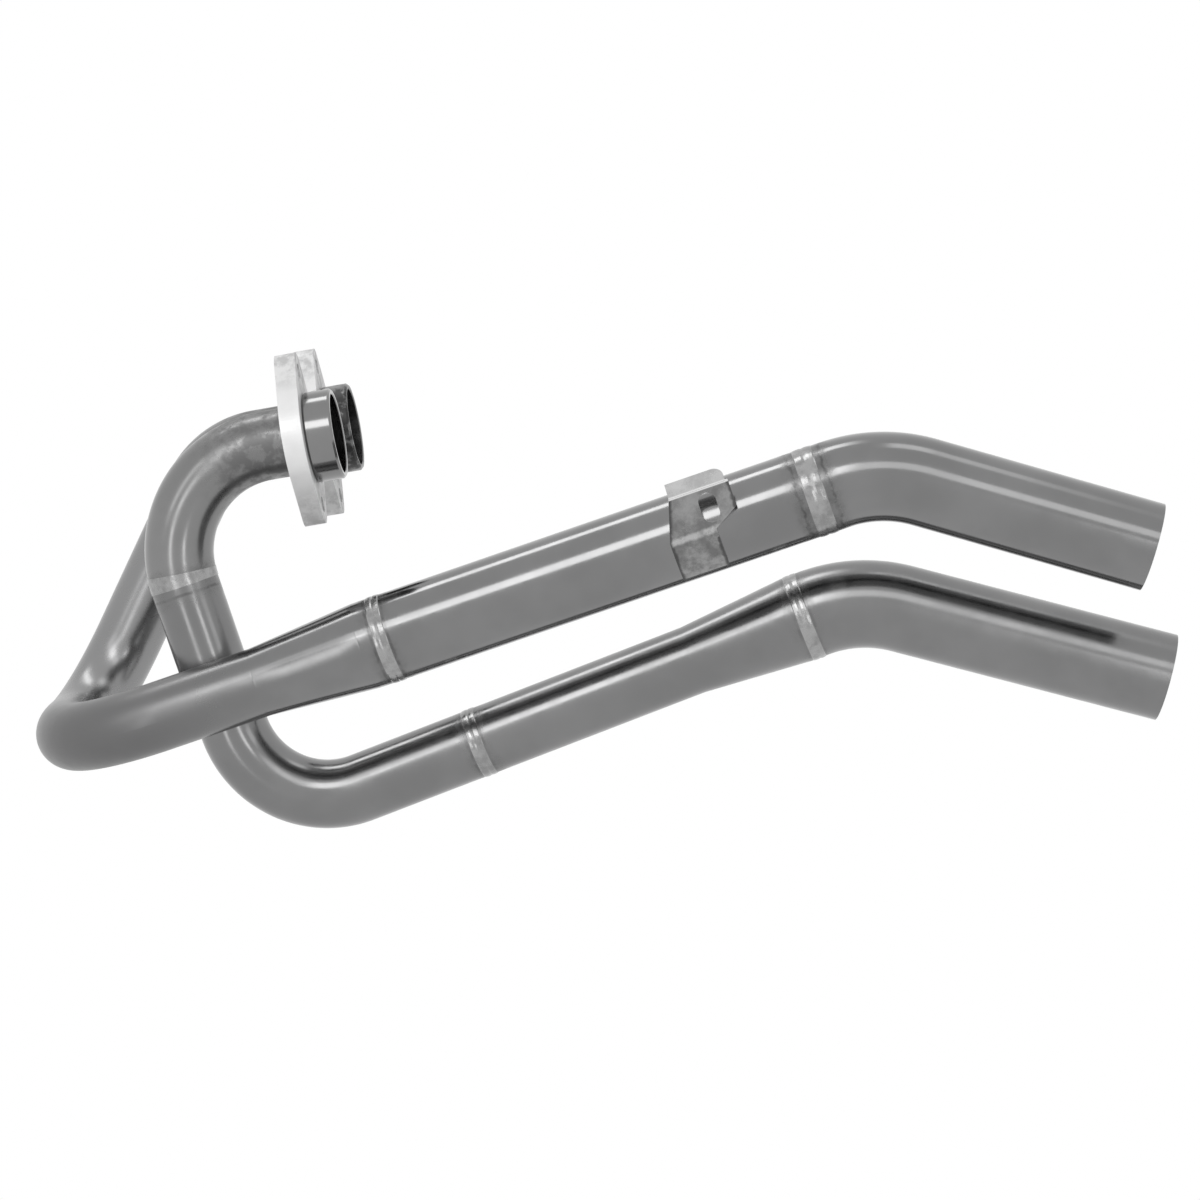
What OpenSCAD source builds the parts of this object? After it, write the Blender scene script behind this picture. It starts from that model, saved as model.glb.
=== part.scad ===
// Pair of stainless exhaust header pipes for a single with two exhaust ports.
// X points to the rear of the machine, Y away from the viewer, Z up, in millimetres.
// The origin is the centre of the near flange, on the face that presses its collar.

/* [Tube] */

// Outside diameter of the front tubes
small_od = 38; // [34:0.5:41]
// Outside diameter of the rear tubes
large_od = 48; // [44:0.5:50]
// Wall thickness of every tube
wall = 1.5; // [1:0.1:2.5]
// Length of the cone between the two tube sizes
cone_len = 61; // [45:1:62]

/* [Near pipe] */

// Slope of both ports above level, in degrees
port_angle = 10; // [7:0.5:13]
// From the mouth to the first corner of the near pipe
near_inlet = 109; // [104:0.5:118]
// Slope of the near down tube below level, in degrees
near_leg_angle = 71.4; // [68:0.2:75]
// From the first to the second corner of the near pipe
near_leg = 208.5; // [196:0.5:215]
// Slope of the near run above level, in degrees
near_rise_angle = 21.5; // [18.5:0.2:23.5]
// Slope of the near tail below level, in degrees
near_drop_angle = 14.4; // [11:0.2:18]
// From the third corner to the outlet of the near pipe
near_tail = 174; // [150:1:200]
// Centreline radius of the head bends
head_radius = 59; // [54:1:63]
// Centreline radius of the near pipe's lower bend
lower_radius = 54; // [48:1:57]
// Centreline radius of the tail bends
tail_radius = 80; // [70:1:84]
// From the lower bend to the first weld of the near run
near_weld_at = 70; // [60:1:80]
// From that weld to the start of the cone
near_cone_after = 126; // [120:1:130]
// From the end of the near pipe's cone to its tail bend
near_tail_gap = 9; // [8:0.5:11]

/* [Far pipe] */

// Distance between the two ports
port_spacing = 80; // [79:1:90]
// Clearance where the far pipe's run crosses in front of the near pipe
run_gap = 0.3; // [0.2:0.1:4]
// From the mouth to the first corner of the far pipe
far_inlet = 81; // [77:0.5:88]
// Centreline radius of the far pipe's first bend
far_head_radius = 47; // [42:1:50]
// Slope of the far down tube below level, in degrees
far_leg_angle = 64.5; // [62.5:0.2:66.5]
// From the first to the second corner of the far pipe
far_leg = 164; // [158:0.5:170]
// Forward shift of the crossing between its two corners
cross_shift = 8.4; // [4:0.2:10]
// Drop of the crossing between its two corners
cross_drop = 12.8; // [10:0.2:15]
// Centreline radius of the bend into the crossing
cross_radius = 54; // [46:1:55]
// Straight between the two bends of the crossing
cross_straight = 2; // [1:0.2:5]
// Slope of the far run above level, in degrees
far_rise_angle = 19.2; // [18:0.2:21]
// Slope of the far tail below level, in degrees
far_drop_angle = 15.8; // [12:0.2:18]
// From the fourth corner to the outlet of the far pipe
far_tail = 151; // [135:1:180]
// From the front bend to the start of the far cone
far_cone_at = 57; // [50:1:60]
// From the far cone to the first weld of the far run
far_weld_after = 12; // [9:0.5:16]
// Length of the wide tube between the far pipe's two welds
far_straight = 244.5; // [235:0.5:270]

/* [Inlet end] */

// Length of the collar
collar_len = 15.5; // [13:0.5:18]
// Outside diameter of the collar
collar_od = 50; // [48.5:0.5:54]
// Size of the broken edges of the collar
collar_edge = 1.2; // [0.8:0.1:1.6]
// Diameter of the mouth inside the collar
mouth_bore = 43.5; // [42:0.5:45]
// Depth of the mouth, down to the tube's end
mouth_depth = 9; // [6:0.5:11]
// Thickness of the flange
flange_len = 11.5; // [9:0.5:13]
// Diameter of the flange's middle
flange_od = 64; // [60:1:66]
// Distance between the two stud holes
stud_pitch = 74; // [72:0.5:78]
// Diameter of each stud hole
stud_hole = 8.5; // [6.5:0.5:9]
// Diameter of each flange ear
ear_od = 21; // [18:0.5:22]
// Gap around the tube inside the flange
flange_gap = 0.5; // [0.3:0.1:0.8]

/* [Welds] */

// Height of a weld bead above the tube
bead_height = 0.4; // [0.3:0.1:0.8]
// Width of the front weld beads
bead_width = 7.5; // [6:0.5:8]
// Width of the weld bands on the rear tubes
band_width = 11; // [9:0.5:12]

/* [Bracket] */

// From the third corner of the far pipe to the bracket
bracket_at = 381; // [360:1:390]
// Thickness of the bracket's sheet
sheet = 2.5; // [2:0.1:3.5]
// Length of the bracket's face along the tube
face_len = 33; // [30:0.5:36]
// Height of the bracket's face above the tube's middle
face_top = 23; // [21:0.5:25]
// Length of the folded tab above the face
tab_len = 10; // [7:0.5:12]
// Lean of the folded tab from the face, in degrees
tab_angle = 42; // [30:1:50]
// Angle that the saddle wraps round the tube, in degrees
saddle_angle = 52; // [40:1:60]
// Length of the saddle along the tube
saddle_len = 26; // [22:0.5:28]
// Reach of the saddle past the bracket's middle, to the right
saddle_past = 8; // [6:0.5:10]
// From the saddle's left edge to the face's left edge
face_in = 7; // [5:0.5:9]
// Height of the face's right edge above the tube's middle, at its foot
face_foot = 8; // [6:0.5:10]
// Radius of the rounded corner of the folded tab
tab_round = 6; // [3:0.5:7]
// From the face's top down to the slotted hole
slot_down = 3.2; // [2.5:0.1:4]
// From the face's left edge to the middle of the slotted hole
slot_in = 19; // [17:0.5:22]
// Width of the slotted hole
slot_width = 9.5; // [8:0.5:12]
// Length between the ends of the slotted hole
slot_len = 16; // [13:0.5:17]

/* [Hidden] */

$fn = 96;
hair = 0.02;
r_small = small_od / 2;
r_large = large_od / 2;

// Vector helpers
function unit(v) = v / norm(v);
function away(z, v) = unit(v - (v * z) * z);
function square_to(z) = away(z, abs(z[1]) > 0.8 ? [1, 0, 0] : [0, 1, 0]);
function turn(a, b) = acos(a * b);
function heading(angle) = [cos(angle), 0, sin(angle)];
function place(o, z, x) = let (y = cross(z, x)) [
  [x[0], y[0], z[0], o[0]],
  [x[1], y[1], z[1], o[1]],
  [x[2], y[2], z[2], o[2]],
  [0, 0, 0, 1]
];

// Directions of the near pipe and its corners
port_dir = heading(180 + port_angle);
na = port_dir;
nb = heading(-near_leg_angle);
nc = heading(near_rise_angle);
nd = heading(-near_drop_angle);
n0 = -port_dir * collar_len;
n1 = n0 + na * near_inlet;
n2 = n1 + nb * near_leg;
t_n1 = head_radius * tan(turn(na, nb) / 2);
t_n2 = lower_radius * tan(turn(nb, nc) / 2);
t_n3 = tail_radius * tan(turn(nc, nd) / 2);
near_w1 = t_n1;
near_w2 = t_n2 + near_weld_at;
near_c1 = near_w2 + near_cone_after;
near_c2 = near_c1 + cone_len;
near_w3 = near_c2 + near_tail_gap / 2;
near_run = near_c2 + near_tail_gap + t_n3;
n3 = n2 + nc * near_run;
n4 = n3 + nd * near_tail;

// Directions of the far pipe and its corners
fa = port_dir;
fb = heading(180 + far_leg_angle);
fd = heading(far_rise_angle);
fe = heading(-far_drop_angle);
run_offset = small_od + run_gap;
f0 = n0 + [0, port_spacing, 0];
f1 = f0 + fa * far_inlet;
f2 = f1 + fb * far_leg;
f3 = f2 + [-cross_shift, -port_spacing - run_offset, -cross_drop];
fc = unit(f3 - f2);
t_f1 = far_head_radius * tan(turn(fa, fb) / 2);
t_f2 = cross_radius * tan(turn(fb, fc) / 2);
t_f3 = norm(f3 - f2) - t_f2 - cross_straight;
front_radius = t_f3 / tan(turn(fc, fd) / 2);
t_f4 = tail_radius * tan(turn(fd, fe) / 2);
far_c1 = t_f3 + far_cone_at;
far_c2 = far_c1 + cone_len;
far_w1 = far_c2 + far_weld_after;
far_w2 = far_w1 + far_straight;
far_run = far_w2 + band_width + t_f4;
f4 = f3 + fd * far_run;
f5 = f4 + fe * far_tail;

// One straight length of tube, from one station to another on a line
module straight(o, z, from, to, r) {
  multmatrix(place(o + z * from, z, square_to(z)))
    difference() {
      cylinder(r = r, h = to - from);
      translate([0, 0, -1])
        cylinder(r = r - wall, h = to - from + 2);
    }
}

// A ring hidden in the wall, which makes one solid of a straight and the bend next to it
module key(o, z, at, r) {
  multmatrix(place(o + z * (at - 0.5), z, square_to(z)))
    difference() {
      cylinder(r = r - wall * 0.3, h = 1);
      translate([0, 0, -1])
        cylinder(r = r - wall * 0.7, h = 3);
    }
}

// One bend of tube round a corner
module bend(corner, a, b, radius, r) {
  multmatrix(place(corner - a * radius * tan(turn(a, b) / 2), a, away(a, b)))
    translate([radius, 0, 0])
      rotate([90, 0, 180])
        rotate_extrude(angle = turn(a, b))
          translate([radius, 0])
            difference() {
              circle(r = r);
              circle(r = r - wall);
            }
}

// A straight tube that widens from the small size to the large one
module widening(o, z, from, cone_from, cone_to, to) {
  multmatrix(place(o, z, square_to(z)))
    rotate_extrude()
      polygon([
        [r_small - wall, from],
        [r_small, from],
        [r_small, cone_from],
        [r_large, cone_to],
        [r_large, to],
        [r_large - wall, to],
        [r_large - wall, cone_to],
        [r_small - wall, cone_from]
      ]);
}

// A rounded weld bead laid round a tube
module bead(o, z, at, width, r) {
  multmatrix(place(o + z * (at - width / 2), z, square_to(z)))
    rotate_extrude()
      polygon([
        [r, 0],
        [r + bead_height * 0.6, width * 0.06],
        [r + bead_height, width * 0.22],
        [r + bead_height, width * 0.38],
        [r + bead_height * 0.35, width * 0.5],
        [r + bead_height, width * 0.62],
        [r + bead_height, width * 0.78],
        [r + bead_height * 0.6, width * 0.94],
        [r, width]
      ]);
}

// A flat weld band laid round the last part of a bend
module bend_band(corner, a, b, radius, width, r) {
  multmatrix(place(corner + b * radius * tan(turn(a, b) / 2), -b, away(b, a) * -1))
    translate([radius, 0, 0])
      rotate([90, 0, 180])
        rotate_extrude(angle = width / radius * 180 / PI)
          translate([radius, 0])
            difference() {
              circle(r = r + bead_height * 0.8);
              circle(r = r);
            }
}

// Collar with broken edges, bored wide at the mouth and tight round the tube behind it
module collar(o) {
  multmatrix(place(o, port_dir, [0, 1, 0]))
    rotate_extrude()
      polygon([
        [mouth_bore / 2 + collar_edge * 0.4, 0],
        [collar_od / 2 - collar_edge, 0],
        [collar_od / 2, collar_edge],
        [collar_od / 2, collar_len - collar_edge],
        [collar_od / 2 - collar_edge, collar_len],
        [r_small, collar_len],
        [r_small, mouth_depth],
        [mouth_bore / 2, mouth_depth],
        [mouth_bore / 2, collar_edge * 0.4]
      ]);
}

// Two-ear flange plate with straight flanks tangent to its rounds
module flange_outline() {
  hull() {
    circle(d = flange_od);
    for (side = [-1, 1]) {
      translate([side * stud_pitch / 2, 0])
        circle(d = ear_od);
    }
  }
}

module flange(o) {
  multmatrix(place(o + port_dir * collar_len, port_dir, cross([0, 1, 0], port_dir)))
    difference() {
      linear_extrude(height = flange_len)
        flange_outline();
      translate([0, 0, -1])
        cylinder(r = r_small + flange_gap, h = flange_len + 2);
      for (side = [-1, 1]) {
        translate([side * stud_pitch / 2, 0, -1])
          cylinder(d = stud_hole, h = flange_len + 2);
      }
    }
}

// Near pipe, from the mouth to the outlet: straights and bends, one after another
module inlet_tube_near() {
  color([0.62, 0.61, 0.60]) {
    straight(n0, na, mouth_depth, near_inlet - t_n1, r_small);
  }
}

module head_bend_near() {
  color([0.62, 0.61, 0.60]) {
    bend(n1, na, nb, head_radius, r_small);
  }
}

module leg_tube_near() {
  color([0.70, 0.70, 0.71]) {
    straight(n1, nb, near_w1, near_leg - t_n2, r_small);
  }
}

module lower_bend_near() {
  color([0.70, 0.70, 0.71]) {
    bend(n2, nb, nc, lower_radius, r_small);
  }
}

module lead_tube_near() {
  color([0.70, 0.70, 0.71]) {
    straight(n2, nc, t_n2, near_w2, r_small);
  }
}

module mid_tube_near() {
  color([0.70, 0.70, 0.71]) {
    widening(n2, nc, near_w2, near_c1, near_c2, near_w3);
  }
}

module tail_bend_near() {
  color([0.70, 0.70, 0.71]) {
    straight(n2, nc, near_w3, near_run - t_n3 - hair, r_large);
    key(n2, nc, near_run - t_n3, r_large);
    bend(n3, nc, nd, tail_radius, r_large);
  }
}

module outlet_tube_near() {
  color([0.70, 0.70, 0.71]) {
    straight(n3, nd, t_n3, near_tail, r_large);
  }
}

// Far pipe, from the mouth to the outlet
module inlet_tube_far() {
  color([0.62, 0.61, 0.60]) {
    straight(f0, fa, mouth_depth, far_inlet - t_f1, r_small);
  }
}

module head_bend_far() {
  color([0.62, 0.61, 0.60]) {
    bend(f1, fa, fb, far_head_radius, r_small);
  }
}

module leg_tube_far() {
  color([0.70, 0.70, 0.71]) {
    straight(f1, fb, t_f1, far_leg - t_f2, r_small);
  }
}

module side_bend_far() {
  color([0.70, 0.70, 0.71]) {
    bend(f2, fb, fc, cross_radius, r_small);
    key(f2, fc, t_f2, r_small);
    straight(f2, fc, t_f2 + hair, norm(f3 - f2) - t_f3, r_small);
  }
}

module front_bend_far() {
  color([0.70, 0.70, 0.71]) {
    bend(f3, fc, fd, front_radius, r_small);
  }
}

module reducer_far() {
  color([0.70, 0.70, 0.71]) {
    widening(f3, fd, t_f3, far_c1, far_c2, far_w1);
  }
}

module run_tube_far() {
  color([0.70, 0.70, 0.71]) {
    straight(f3, fd, far_w1, far_w2, r_large);
  }
}

module tail_bend_far() {
  color([0.70, 0.70, 0.71]) {
    straight(f3, fd, far_w2, far_run - t_f4 - hair, r_large);
    key(f3, fd, far_run - t_f4, r_large);
    bend(f4, fd, fe, tail_radius, r_large);
  }
}

module outlet_tube_far() {
  color([0.70, 0.70, 0.71]) {
    straight(f4, fe, t_f4, far_tail, r_large);
  }
}

// Inlet fittings of both ports
module collar_near() {
  color([0.72, 0.72, 0.72])
    collar(n0);
}

module collar_far() {
  color([0.72, 0.72, 0.72])
    collar(f0);
}

module flange_near() {
  color([0.86, 0.86, 0.86])
    flange(n0);
}

module flange_far() {
  color([0.86, 0.86, 0.86])
    flange(f0);
}

// Weld beads
module weld_head_near() {
  color([0.60, 0.58, 0.56])
    bend_band(n1, na, nb, head_radius, bead_width, r_small);
}

module weld_run_near() {
  color([0.60, 0.58, 0.56])
    bead(n2, nc, near_w2, bead_width, r_small);
}

module weld_tail_near() {
  color([0.60, 0.58, 0.56])
    bead(n2, nc, near_w3, bead_width, r_large);
}

module weld_run_far() {
  color([0.60, 0.58, 0.56])
    bead(f3, fd, far_w1, bead_width, r_large);
}

module weld_tail_far() {
  color([0.60, 0.58, 0.56])
    bead(f3, fd, far_w2, band_width, r_large);
}

// Folded sheet bracket on the side of the far pipe's run
module side_bracket() {
  left = saddle_past - saddle_len;
  slot_at = left + face_in + slot_in;
  slot_top = face_top - slot_down - slot_width / 2;
  slot_low = face_top - slot_down - slot_len + slot_width / 2;
  tab_width = face_len - sheet * 0.6;
  color([0.66, 0.66, 0.66])
    multmatrix(place(f3 + fd * bracket_at, fd, [0, -1, 0]))
      mirror([0, 1, 0])
      difference() {
        union() {
          mirror([0, 1, 0])
            translate([0, 0, left])
              rotate_extrude(angle = saddle_angle)
                translate([r_large, 0])
                  square([sheet, saddle_len]);
          translate([r_large, 0, 0])
            rotate([90, 0, 90])
              linear_extrude(height = sheet)
                polygon([
                  [0, left],
                  [face_top, left + face_in],
                  [face_top, left + face_in + face_len],
                  [face_foot, left + face_in + face_len],
                  [0, saddle_past]
                ]);
          translate([r_large + sheet, face_top, 0])
            rotate([0, 0, tab_angle])
              translate([-sheet, -sheet * 0.16, left + face_in])
                difference() {
                  cube([sheet, tab_len + sheet * 0.16, tab_width]);
                  translate([0, tab_len + sheet * 0.16 - tab_round, tab_width - tab_round])
                    difference() {
                      translate([-1, 0, 0])
                        cube([sheet + 2, tab_round + 1, tab_round + 1]);
                      translate([-2, 0, 0])
                        rotate([0, 90, 0])
                          cylinder(r = tab_round, h = sheet + 4);
                    }
                }
        }
        for (v = [slot_top, slot_low]) {
          translate([r_large - 1, v, slot_at])
            rotate([0, 90, 0])
              cylinder(d = slot_width, h = sheet + 2);
        }
        translate([r_large - 1, slot_low, slot_at - slot_width / 2])
          cube([sheet + 2, slot_len - slot_width, slot_width]);
      }
}

inlet_tube_near();
head_bend_near();
leg_tube_near();
lower_bend_near();
lead_tube_near();
mid_tube_near();
tail_bend_near();
outlet_tube_near();
inlet_tube_far();
head_bend_far();
leg_tube_far();
side_bend_far();
front_bend_far();
reducer_far();
run_tube_far();
tail_bend_far();
outlet_tube_far();
collar_near();
collar_far();
flange_near();
flange_far();
weld_head_near();
weld_run_near();
weld_tail_near();
weld_run_far();
weld_tail_far();
side_bracket();
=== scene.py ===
"""Looks of the exhaust header pair: steel finishes, weld colours, studio and camera."""
import math
from collections import namedtuple

import bpy
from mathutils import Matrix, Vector

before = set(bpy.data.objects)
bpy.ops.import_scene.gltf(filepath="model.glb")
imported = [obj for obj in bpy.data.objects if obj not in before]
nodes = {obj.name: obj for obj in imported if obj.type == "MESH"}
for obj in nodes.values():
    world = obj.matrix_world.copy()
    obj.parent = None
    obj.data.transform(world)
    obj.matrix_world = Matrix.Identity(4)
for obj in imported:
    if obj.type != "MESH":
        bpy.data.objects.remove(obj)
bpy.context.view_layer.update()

# Shader helpers


def new_material(name):
    mat = bpy.data.materials.new(name)
    mat.use_nodes = True
    tree = mat.node_tree
    return mat, tree, tree.nodes["Principled BSDF"]


def add(tree, kind, **values):
    node = tree.nodes.new(kind)
    for key, value in values.items():
        setattr(node, key, value)
    return node


def grey(tone):
    return (tone, tone, tone)


def scaled(colour, factor):
    return tuple(min(1.0, part * factor) for part in colour)


def object_place(tree):
    """Where a point lies, in the part's own metres."""
    return add(tree, "ShaderNodeTexCoord").outputs["Object"]


def noise(tree, vector, scale, detail=4.0, rough=0.55):
    node = add(tree, "ShaderNodeTexNoise")
    node.inputs["Scale"].default_value = scale
    node.inputs["Detail"].default_value = detail
    node.inputs["Roughness"].default_value = rough
    tree.links.new(vector, node.inputs["Vector"])
    return node.outputs["Fac"]


def math_node(tree, op, a, b=None, c=None, clamp=False):
    node = add(tree, "ShaderNodeMath", operation=op, use_clamp=clamp)
    for i, value in enumerate((a, b, c)):
        if value is None:
            continue
        if isinstance(value, (int, float)):
            node.inputs[i].default_value = value
        else:
            tree.links.new(value, node.inputs[i])
    return node.outputs[0]


def gather(tree, op, so_far, more):
    """Joins a value to those before it, or starts with it."""
    return more if so_far is None else math_node(tree, op, so_far, more)


def ramp(tree, value, low, high, to_low=0.0, to_high=1.0):
    node = add(tree, "ShaderNodeMapRange", interpolation_type="SMOOTHSTEP")
    tree.links.new(value, node.inputs["Value"])
    node.inputs["From Min"].default_value = low
    node.inputs["From Max"].default_value = high
    node.inputs["To Min"].default_value = to_low
    node.inputs["To Max"].default_value = to_high
    return node.outputs["Result"]


def mix(tree, fac, a, b):
    node = add(tree, "ShaderNodeMix", data_type="RGBA")
    tree.links.new(fac, node.inputs[0])
    for i, value in ((6, a), (7, b)):
        if isinstance(value, tuple):
            node.inputs[i].default_value = (*value, 1.0)
        else:
            tree.links.new(value, node.inputs[i])
    return node.outputs[2]


def bump_node(tree, height, strength, distance):
    node = add(tree, "ShaderNodeBump")
    node.inputs["Strength"].default_value = strength
    node.inputs["Distance"].default_value = distance
    tree.links.new(height, node.inputs["Height"])
    return node


def distance_to(tree, place, point):
    node = add(tree, "ShaderNodeVectorMath", operation="DISTANCE")
    tree.links.new(place, node.inputs[0])
    node.inputs[1].default_value = point
    return node.outputs["Value"]


def along(tree, place, point, line):
    """Metres from a point, measured along a line."""
    gap = add(tree, "ShaderNodeVectorMath", operation="SUBTRACT")
    tree.links.new(place, gap.inputs[0])
    gap.inputs[1].default_value = point
    dot = add(tree, "ShaderNodeVectorMath", operation="DOT_PRODUCT")
    tree.links.new(gap.outputs["Vector"], dot.inputs[0])
    dot.inputs[1].default_value = line
    return dot.outputs["Value"]


# Places on the part, in metres, and directions of its tubes

PORT_Y = 0.080
LEG = (0.31896, 0.0, -0.94777)
NEAR_RUN = (0.93042, 0.0, 0.3665)
FAR_RUN = (0.94438, 0.0, 0.32887)
FAR_RUN_UP = (-0.32887, 0.0, 0.94438)
BRACKET_MIDDLE = (0.2163, -0.0383, -0.0469)
CONE_SLOPE = 5.0 / 61.0

# Heat mottling round a point
Mark = namedtuple("Mark", "at reach strength")
# A weld's darker, irregular heat bands, and thin dark lines at its edges: how far they lie from its middle,
# how dark they are and how much they wander
Ring = namedtuple("Ring", "at line reach strength edge dark loose")
# The corner where a cone meets a straight, eased over half a length on each side
Swage = namedtuple("Swage", "at line half slope")
# A rougher end of a tube, darkened with painted shade, from one X to another; it also brings painted light on the
# leg behind
SatinAndPaintedLight = namedtuple("SatinAndPaintedLight", "full_x none_x rougher")

flange_marks = [Mark((-0.014, y, -0.003), 0.062, 1.0) for y in (0.0, PORT_Y)]
mouth_marks = [Mark((0.018, PORT_Y - 0.018, 0.003), 0.046, 1.0)]
ear_marks = [Mark((-0.012, y, 0.0355), 0.026, 0.75) for y in (0.0, PORT_Y)]
ear_marks += [Mark((0.0007, y, -0.0375), 0.028, 0.75) for y in (0.0, PORT_Y)]
near_rings = [
    Ring((-0.0702, 0.0, -0.08125), LEG, 0.012, 0.6, 0.0046, 0.6, 0.15),
    Ring((0.0924, 0.0, -0.16737), NEAR_RUN, 0.010, 0.6, 0.0046, 0.35, 0.3),
    Ring((0.27058, 0.0, -0.09719), NEAR_RUN, 0.010, 0.4, 0.0046, 0.3, 0.15),
]
far_rings = [
    Ring((0.04515, -0.0383, -0.1065), FAR_RUN, 0.010, 0.5, 0.0048, 0.6, 0.15),
    Ring((0.27605, -0.0383, -0.02609), FAR_RUN, 0.016, 0.9, 0.0090, 0.75, 0.8),
]
near_swages = [
    Swage((0.20964, 0.0, -0.12119), NEAR_RUN, 0.016, CONE_SLOPE),
    Swage((0.26639, 0.0, -0.09884), NEAR_RUN, 0.012, -CONE_SLOPE),
]
far_swages = [
    Swage((-0.02379, -0.0383, -0.13051), FAR_RUN, 0.018, CONE_SLOPE),
    Swage((0.03381, -0.0383, -0.11045), FAR_RUN, 0.012, -CONE_SLOPE),
]

# Steel finishes

# Noise scales: broad tone, handling smears, grain, and the blotches and wandering edge of a heat mark
TONE_SCALE, SMEAR_SCALE, GRAIN_SCALE = 22.0, 70.0, 420.0
HEAT_SCALE, WANDER_SCALE = 130.0, 90.0
WANDER = 0.012
HEAT_ROUGHER = 0.22
EDGE_LINE = grey(0.08)
EDGE_LINE_HALF = (0.0002, 0.0013)
# A ring's marks end this far from the weld's middle, so that the other pipe has none of them
RING_END = (0.034, 0.042)
GRAIN_DEPTH = 0.0002
# Rounds the tip of an eased corner, in square metres
SWAGE_TIP = 4.0e-7
# The satin end is rougher and darkened with painted shade, and from one Y to another the leg behind is brightened
# with painted light and smoother again
SATIN_PAINTED_SHADE, BEHIND_PAINTED_LIGHT, SATIN_SMOOTH = 0.78, 1.22, 0.72
SATIN_BEHIND = (-0.030, 0.045)


def weld_marks(tree, place, ring, blotch, wander):
    """Heat bands on both sides of one weld, and the thin lines at its edges."""
    off = math_node(tree, "ABSOLUTE", math_node(tree, "ADD", along(tree, place, ring.at, ring.line), wander))
    band = ramp(tree, off, ring.reach * 0.55, ring.reach, ring.strength, 0.0)
    close = ramp(tree, distance_to(tree, place, ring.at), *RING_END, 1.0, 0.0)
    band = math_node(tree, "MULTIPLY", band, math_node(tree, "MULTIPLY_ADD", blotch, 0.65, 0.35))
    band = math_node(tree, "MULTIPLY", band, close, clamp=True)
    drift = math_node(tree, "MULTIPLY_ADD", wander, ring.loose, along(tree, place, ring.at, ring.line))
    thin = math_node(tree, "SUBTRACT", math_node(tree, "ABSOLUTE", drift), ring.edge)
    thin = ramp(tree, math_node(tree, "ABSOLUTE", thin), *EDGE_LINE_HALF, ring.dark, 0.0)
    thin = math_node(tree, "MULTIPLY", thin, close)
    return band, math_node(tree, "MULTIPLY", thin, math_node(tree, "MULTIPLY_ADD", blotch, 0.7, 0.3))


def swage_relief(tree, place, swage):
    """Height that turns the sharp corner of a cone into a soft one."""
    gap = along(tree, place, swage.at, swage.line)
    gap = math_node(tree, "SQRT", math_node(tree, "MULTIPLY_ADD", gap, gap, SWAGE_TIP))
    left = math_node(tree, "MAXIMUM", math_node(tree, "SUBTRACT", swage.half, gap), 0.0)
    return math_node(tree, "MULTIPLY", math_node(tree, "MULTIPLY", left, left), swage.slope / (4.0 * swage.half))


def steel(name, colour, roughness, marks=(), mottle=grey(0.34), grain=0.25, satin=None,
          rings=(), swages=(), metal=1.0):
    """Stainless with fine grain, faint handling smears and the marks it is given; mottle is their colour."""
    mat, tree, bsdf = new_material(name)
    place = object_place(tree)
    broad = noise(tree, place, TONE_SCALE, 3.0)
    fine = noise(tree, place, GRAIN_SCALE, 5.0, 0.6)
    smear = noise(tree, place, SMEAR_SCALE, 4.0, 0.6)
    shade = mix(tree, ramp(tree, broad, 0.35, 0.7), scaled(colour, 0.93), scaled(colour, 1.04))
    rough = ramp(tree, smear, 0.3, 0.75, roughness * 0.85, roughness * 1.25)
    heat = edges = relief = None
    if marks or rings:
        blotch = ramp(tree, noise(tree, place, HEAT_SCALE, 5.0, 0.65), 0.38, 0.62)
        wander = math_node(tree, "MULTIPLY_ADD", noise(tree, place, WANDER_SCALE, 4.0, 0.7), WANDER, -WANDER / 2)
    for mark in marks:
        near = ramp(tree, distance_to(tree, place, mark.at), mark.reach * 0.35, mark.reach, mark.strength, 0.0)
        spot = math_node(tree, "MULTIPLY", near, math_node(tree, "ADD", blotch, 0.35), clamp=True)
        heat = gather(tree, "MAXIMUM", heat, spot)
    for ring in rings:
        band, thin = weld_marks(tree, place, ring, blotch, wander)
        heat = gather(tree, "MAXIMUM", heat, band)
        edges = gather(tree, "MAXIMUM", edges, thin)
    # Painted shade darkens the satin end; painted light brightens the leg behind it, which is also smoother
    if satin:
        parts = add(tree, "ShaderNodeSeparateXYZ")
        tree.links.new(place, parts.inputs[0])
        more = ramp(tree, parts.outputs["X"], satin.full_x, satin.none_x, satin.rougher, 0.0)
        rough = math_node(tree, "ADD", rough, more, clamp=True)
        satin_painted_shade = ramp(tree, parts.outputs["X"], satin.full_x, satin.none_x, 1.0, 0.0)
        shade = mix(tree, satin_painted_shade, shade, scaled(colour, SATIN_PAINTED_SHADE))
        behind_painted_light_and_smoothing = ramp(tree, parts.outputs["Y"], *SATIN_BEHIND)
        shade = mix(tree, behind_painted_light_and_smoothing, shade, scaled(colour, BEHIND_PAINTED_LIGHT))
        rough = math_node(tree, "MULTIPLY", rough, ramp(tree, behind_painted_light_and_smoothing, 0.0, 1.0, 1.0, SATIN_SMOOTH))
    if heat is not None:
        shade = mix(tree, heat, shade, mottle)
        rough = math_node(tree, "ADD", rough, math_node(tree, "MULTIPLY", heat, HEAT_ROUGHER), clamp=True)
    if edges is not None:
        shade = mix(tree, edges, shade, EDGE_LINE)
    tree.links.new(shade, bsdf.inputs["Base Color"])
    tree.links.new(rough, bsdf.inputs["Roughness"])
    bsdf.inputs["Metallic"].default_value = metal
    bump = bump_node(tree, fine, grain * 0.2, GRAIN_DEPTH)
    for swage in swages:
        relief = gather(tree, "ADD", relief, swage_relief(tree, place, swage))
    if relief is not None:
        ease = bump_node(tree, relief, 1.0, 1.0)
        tree.links.new(ease.outputs["Normal"], bump.inputs["Normal"])
    tree.links.new(bump.outputs["Normal"], bsdf.inputs["Normal"])
    return mat


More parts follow.
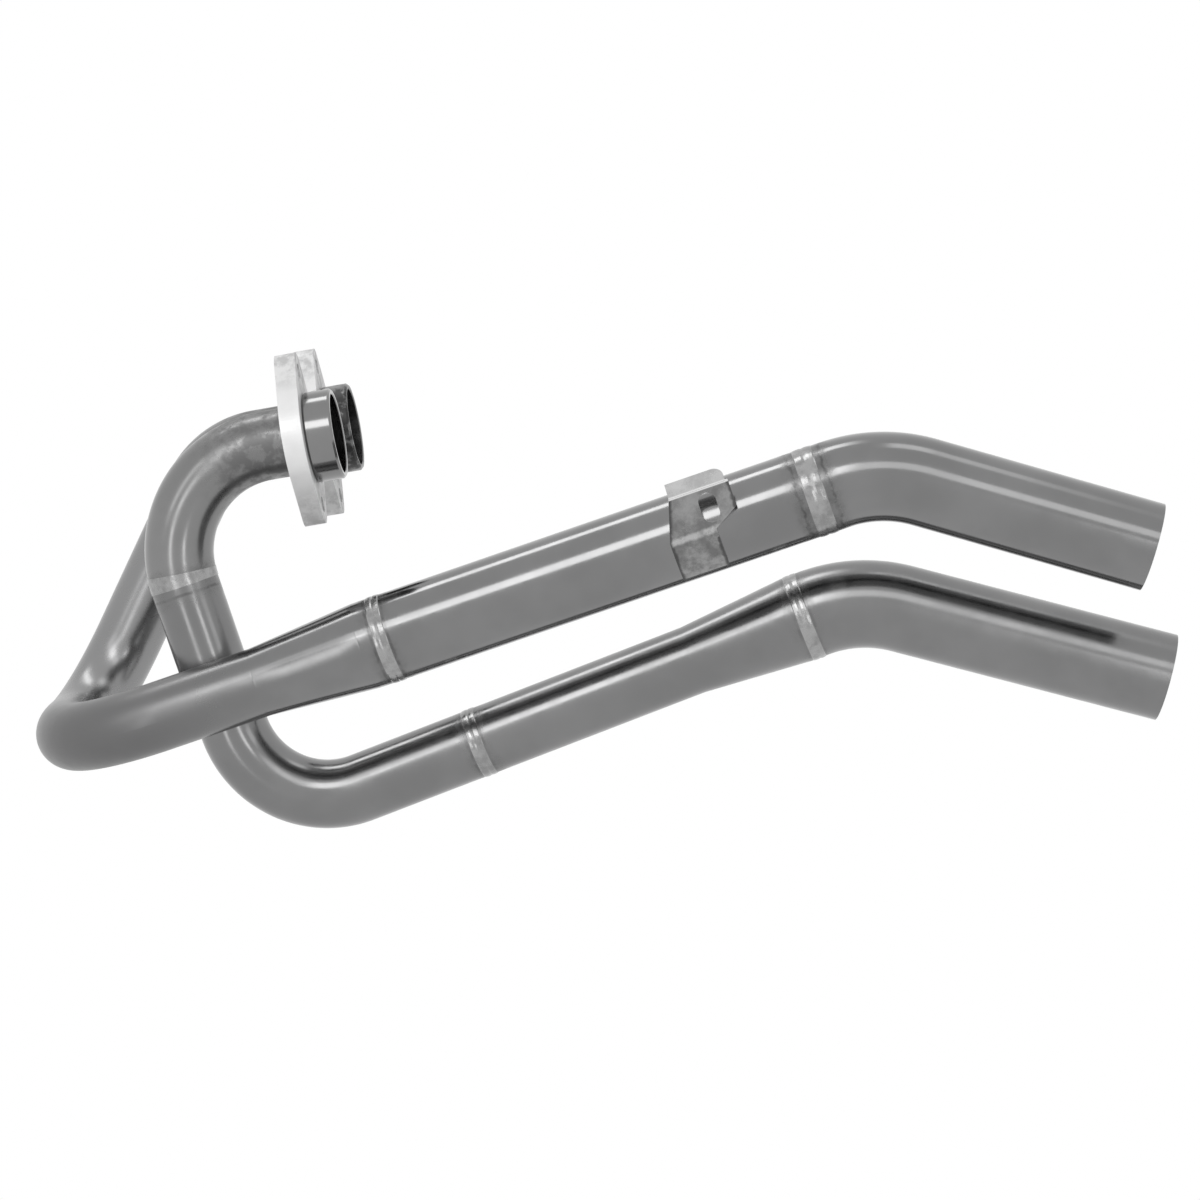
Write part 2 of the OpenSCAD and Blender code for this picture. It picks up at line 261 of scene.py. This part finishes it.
def weld_steel(name):
    """Flat bead, paler than the tube, with coarse ripples that break up the mirrored streaks."""
    mat, tree, bsdf = new_material(name)
    place = object_place(tree)
    lumps = noise(tree, place, 230.0, 3.0, 0.5)
    patch = ramp(tree, noise(tree, place, 120.0, 4.0, 0.6), 0.35, 0.65)
    tree.links.new(mix(tree, patch, grey(0.25), grey(0.36)), bsdf.inputs["Base Color"])
    tree.links.new(ramp(tree, lumps, 0.3, 0.7, 0.18, 0.30), bsdf.inputs["Roughness"])
    bsdf.inputs["Metallic"].default_value = 1.0
    bump = bump_node(tree, lumps, 0.3, 0.0006)
    tree.links.new(bump.outputs["Normal"], bsdf.inputs["Normal"])
    return mat


# The bracket's face and saddle, in metres from the middle of the foot of its face, along the run and up
FACE_LEFT, FACE_RIGHT, SADDLE_RIGHT, FOLD = -0.018, 0.022, 0.008, 0.0226
# How far the face's left edge leans to the right, for each metre up
FACE_LEAN = 0.304
RIM_SHADE_HALF = (0.0006, 0.0022)


def sheet_steel(name, middle, up):
    """Handled sheet: blotches and dark specks, painted shade low down and along the rims, a tab painted paler as
    painted light from above, and painted highlight lines along the folds.
    """
    mat, tree, bsdf = new_material(name)
    place = object_place(tree)
    height = along(tree, place, middle, up)
    sideways = along(tree, place, middle, FAR_RUN)
    blotch = ramp(tree, noise(tree, place, 80.0, 5.0, 0.62), 0.36, 0.64)
    speck = ramp(tree, noise(tree, place, 240.0, 4.0, 0.7), 0.42, 0.70)
    wander = math_node(tree, "MULTIPLY_ADD", noise(tree, place, 180.0, 3.0, 0.7), 0.003, -0.0015)
    face = mix(tree, blotch, grey(0.17), grey(0.30))
    # Painted highlight: a pale line along the foot of the face, where it meets the saddle
    foot_highlight_gap = math_node(tree, "ABSOLUTE", math_node(tree, "ADD", height, wander))
    face = mix(tree, ramp(tree, foot_highlight_gap, 0.0007, 0.0026, 0.85, 0.0), face, grey(0.46))
    # Dark specks, with painted shade that grows towards the bottom
    specks_and_low_shade = math_node(tree, "MULTIPLY", speck, ramp(tree, height, -0.004, 0.02, 0.5, 0.15))
    face = mix(tree, specks_and_low_shade, face, grey(0.12))
    # Painted shade along the nearest rim: the face's left and right, and the saddle's right, which counts only
    # below the face
    lean = math_node(tree, "MULTIPLY_ADD", math_node(tree, "MAXIMUM", height, 0.0), -FACE_LEAN, -FACE_LEFT)
    left_rim = math_node(tree, "ADD", math_node(tree, "ADD", sideways, lean), wander)
    right_rim = math_node(tree, "SUBTRACT", FACE_RIGHT, math_node(tree, "ADD", sideways, wander))
    rim_shade_gap = math_node(tree, "MINIMUM", left_rim, right_rim)
    past = math_node(tree, "SUBTRACT", math_node(tree, "ADD", sideways, wander), SADDLE_RIGHT)
    past = math_node(tree, "ABSOLUTE", past)
    past = math_node(tree, "ADD", past, ramp(tree, height, -0.0050, -0.0020, 0.0, 0.01))
    rim_shade_gap = math_node(tree, "MINIMUM", rim_shade_gap, past)
    face = mix(tree, ramp(tree, rim_shade_gap, *RIM_SHADE_HALF, 0.85, 0.0), face, grey(0.06))
    # The tab is painted paler than the face, as painted light falling on it from above
    tab_painted_lighter = mix(tree, blotch, grey(0.40), grey(0.54))
    shade = mix(tree, ramp(tree, height, FOLD, FOLD + 0.001), face, tab_painted_lighter)
    # Painted highlight: a bright line along the fold
    off = math_node(tree, "ABSOLUTE", math_node(tree, "SUBTRACT", height, FOLD))
    shade = mix(tree, ramp(tree, off, 0.0004, 0.0011, 0.9, 0.0), shade, grey(0.78))
    tree.links.new(shade, bsdf.inputs["Base Color"])
    tree.links.new(ramp(tree, blotch, 0.0, 1.0, 0.30, 0.20), bsdf.inputs["Roughness"])
    bsdf.inputs["Metallic"].default_value = 1.0
    bump = bump_node(tree, blotch, 0.12, 0.0012)
    tree.links.new(bump.outputs["Normal"], bsdf.inputs["Normal"])
    return mat


TUBE_STEEL = (0.215, 0.215, 0.216)
near_tube = steel("near_steel", TUBE_STEEL, 0.20, rings=near_rings, swages=near_swages, mottle=grey(0.18))
far_tube = steel("far_steel", TUBE_STEEL, 0.15, rings=far_rings, swages=far_swages, mottle=grey(0.14),
                 satin=SatinAndPaintedLight(-0.10, 0.01, 0.22))
# The head steels are painted a little paler than the tube steel, as painted light on the heads
head = steel("head_steel", grey(0.235), 0.21, flange_marks, mottle=grey(0.15), grain=0.1, rings=near_rings[:1])
far_head = steel("far_head_steel", grey(0.235), 0.26, flange_marks, mottle=grey(0.16))
collar = steel("collar_steel", grey(0.22), 0.14)
old_collar = steel("old_collar_steel", grey(0.24), 0.20, mouth_marks, mottle=grey(0.05))
flange = steel("flange_steel", grey(0.90), 0.42, ear_marks, mottle=grey(0.58), grain=0.6, metal=0.25)
weld = weld_steel("weld_steel")
sheet = sheet_steel("sheet_steel", BRACKET_MIDDLE, FAR_RUN_UP)

finish = {
    "inlet_tube_near": head,
    "head_bend_near": head,
    "inlet_tube_far": far_head,
    "head_bend_far": far_head,
    "collar_near": collar,
    "collar_far": old_collar,
    "flange_near": flange,
    "flange_far": flange,
    "side_bracket": sheet,
}


def plain_finish(name):
    """The finish of a node that has none of its own."""
    if name.startswith("weld_"):
        return weld
    return far_tube if name.endswith("_far") else near_tube


for name, obj in nodes.items():
    obj.data.materials.clear()
    obj.data.materials.append(finish.get(name) or plain_finish(name))

# Studio: a white world and a pale floor, which the metal shows too, and soft lamps

WHITE = (1.0, 1.0, 1.0, 1.0)
FLOOR_Z, FLOOR_HALF, FLOOR_TONE = -0.90, 6, 0.8
FILL_TONE = 0.5
MIDDLE = Vector((0.16, 0.0, -0.09))


def white_where_seen(tree, shader, kind, output):
    """Camera, metal and glass see plain white; other rays get the shader itself."""
    path = add(tree, "ShaderNodeLightPath")
    white = add(tree, kind)
    white.inputs["Color"].default_value = WHITE
    white.inputs["Strength"].default_value = 1.0
    blend = add(tree, "ShaderNodeMixShader")
    seen = math_node(tree, "MAXIMUM", path.outputs["Is Camera Ray"], path.outputs["Is Transmission Ray"])
    seen = math_node(tree, "MAXIMUM", seen, path.outputs["Is Glossy Ray"])
    tree.links.new(seen, blend.inputs[0])
    tree.links.new(shader, blend.inputs[1])
    tree.links.new(white.outputs[0], blend.inputs[2])
    tree.links.new(blend.outputs[0], tree.nodes[output].inputs["Surface"])


paper, tree, bsdf = new_material("floor_paper")
bsdf.inputs["Base Color"].default_value = (*grey(FLOOR_TONE), 1.0)
bsdf.inputs["Roughness"].default_value = 0.9
white_where_seen(tree, bsdf.outputs[0], "ShaderNodeEmission", "Material Output")
mesh = bpy.data.meshes.new("floor")
corners = [(x * FLOOR_HALF, y * FLOOR_HALF, FLOOR_Z) for x, y in ((-1, -1), (1, -1), (1, 1), (-1, 1))]
mesh.from_pydata(corners, [], [(0, 1, 2, 3)])
mesh.materials.append(paper)
obj = bpy.data.objects.new("floor", mesh)
bpy.context.scene.collection.objects.link(obj)

world = bpy.data.worlds.new("studio")
bpy.context.scene.world = world
world.use_nodes = True
back = world.node_tree.nodes["Background"]
back.inputs["Color"].default_value = (*grey(FILL_TONE), 1.0)
back.inputs["Strength"].default_value = 1.0
white_where_seen(world.node_tree, back.outputs[0], "ShaderNodeBackground", "World Output")


def soft_ends(data, start, end):
    """The lamp's face fades out over a part of its length at each end."""
    data.use_nodes = True
    tree = data.node_tree
    split = add(tree, "ShaderNodeSeparateXYZ")
    tree.links.new(add(tree, "ShaderNodeNewGeometry").outputs["Parametric"], split.inputs[0])
    place = split.outputs["X"]
    fade = math_node(tree, "MULTIPLY", ramp(tree, place, 0.0, start), ramp(tree, place, 1.0, 1.0 - end))
    tree.links.new(fade, tree.nodes["Emission"].inputs["Strength"])


def span(degrees, distance):
    """Length that takes up an angle at a distance."""
    return 2 * distance * math.tan(math.radians(degrees) / 2)


def area_lamp(name, centre, facing, across, tall, glow, ends):
    """A rectangular lamp; glow is how bright its face is, and ends are the parts that fade out."""
    data = bpy.data.lights.new(name, "AREA")
    data.shape = "RECTANGLE"
    data.size = across
    data.size_y = tall
    data.energy = glow * math.pi * data.size * data.size_y
    lamp = bpy.data.objects.new(name, data)
    bpy.context.scene.collection.objects.link(lamp)
    lamp.location = centre
    lamp.rotation_euler = facing.to_track_quat("-Z", "Y").to_euler()
    if ends:
        soft_ends(data, *ends)


def softbox(name, rise, reach, left, right, spread, glow, ends):
    """A soft lamp along X, at an angle above the front horizon."""
    up = math.radians(rise)
    centre = Vector(((left + right) / 2, -math.cos(up) * reach, MIDDLE.z + math.sin(up) * reach))
    facing = Vector((0.0, math.cos(up), -math.sin(up)))
    area_lamp(name, centre, facing, right - left, span(spread, reach), glow, ends)


STRIP_REACH = 2.9


def strip(name, turn, low, high, wide, glow, ends):
    """An upright soft lamp, turned from the camera's side to the right, between two heights in degrees."""
    side = math.radians(turn)
    rise = math.radians((low + high) / 2)
    facing = Vector((-math.sin(side) * math.cos(rise), math.cos(side) * math.cos(rise), -math.sin(rise)))
    area_lamp(name, MIDDLE - facing * STRIP_REACH, facing,
              span(wide, STRIP_REACH), span(high - low, STRIP_REACH), glow, ends)


softbox("front_box", 34, 3.1, -2.1, 0.1, 18, 3.0, (0.62, 0.1))
softbox("front_box_right", 34, 3.1, 0.0, 1.9, 16, 1.15, (0.05, 0.2))
softbox("top_box", 108, 2.3, -1.7, 0.2, 13, 3.1, (0.35, 0.1))
softbox("top_box_right", 90, 2.3, 0.3, 1.4, 15, 1.2, (0.2, 0.4))
strip("left_strip", -25, -16, 26, 13, 1.9, (0.4, 0.4))
strip("far_strip", -46, 6, 32, 14, 1.3, (0.4, 0.4))
strip("right_strip", 20, -10, 14, 9, 2.8, (0.3, 0.3))
strip("right_wide_strip", 47, 10, 24, 15, 0.75, None)

# Camera at the photograph's angle

AZIMUTH, ELEVATION, CAMERA_REACH = math.radians(3.0), math.radians(5.2), 2.1
TARGET = Vector((0.15871, 0.0, -0.08849))
look = Vector((-math.sin(AZIMUTH) * math.cos(ELEVATION), math.cos(AZIMUTH) * math.cos(ELEVATION),
               -math.sin(ELEVATION)))
scene = bpy.context.scene
cam_data = bpy.data.cameras.new("camera")
cam = bpy.data.objects.new("camera", cam_data)
scene.collection.objects.link(cam)
cam.location = TARGET - look * CAMERA_REACH
cam.rotation_euler = look.to_track_quat("-Z", "Y").to_euler()
cam_data.sensor_width = 36.0
cam_data.lens = 114.96
cam_data.clip_start = 0.05
cam_data.clip_end = 30.0
scene.camera = cam
scene.view_settings.view_transform = "Standard"
